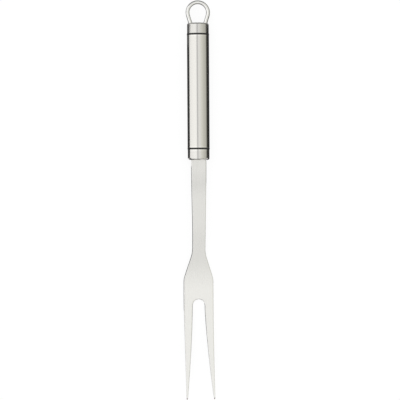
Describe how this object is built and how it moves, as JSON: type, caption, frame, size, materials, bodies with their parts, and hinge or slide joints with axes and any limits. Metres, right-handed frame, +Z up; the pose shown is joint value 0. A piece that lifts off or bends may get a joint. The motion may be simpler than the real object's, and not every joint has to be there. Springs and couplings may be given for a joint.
{
  "type": "carving fork",
  "caption": "Stainless carving fork with long tapered tines curving up from a flared head, an oval hollow handle between black rings, and a wire loop to hang it by",
  "frame": {"origin": "the middle of the fork's length and width, on the surface that it lies on", "axes": "+Y along the fork towards the hanging loop, with the tines towards -Y; +X across it; +Z up, the way the tines curve"},
  "size_m": [0.0258, 0.3404, 0.0152],
  "materials": {
    "blade_steel": "satin stainless steel, finely brushed along the fork",
    "tube_steel": "satin stainless steel, finely brushed along the handle",
    "cap_steel": "satin stainless steel",
    "wire_steel": "drawn and lightly polished stainless wire",
    "ring_plastic": "matt black"
  },
  "bodies": {
    "root": {"fork_blade": "blade_steel", "front_ferrule": "cap_steel", "front_ring": "ring_plastic", "handle_tube": "tube_steel", "rear_ring": "ring_plastic", "end_cap": "cap_steel", "hanging_loop": "wire_steel"}
  },
  "joints": []
}
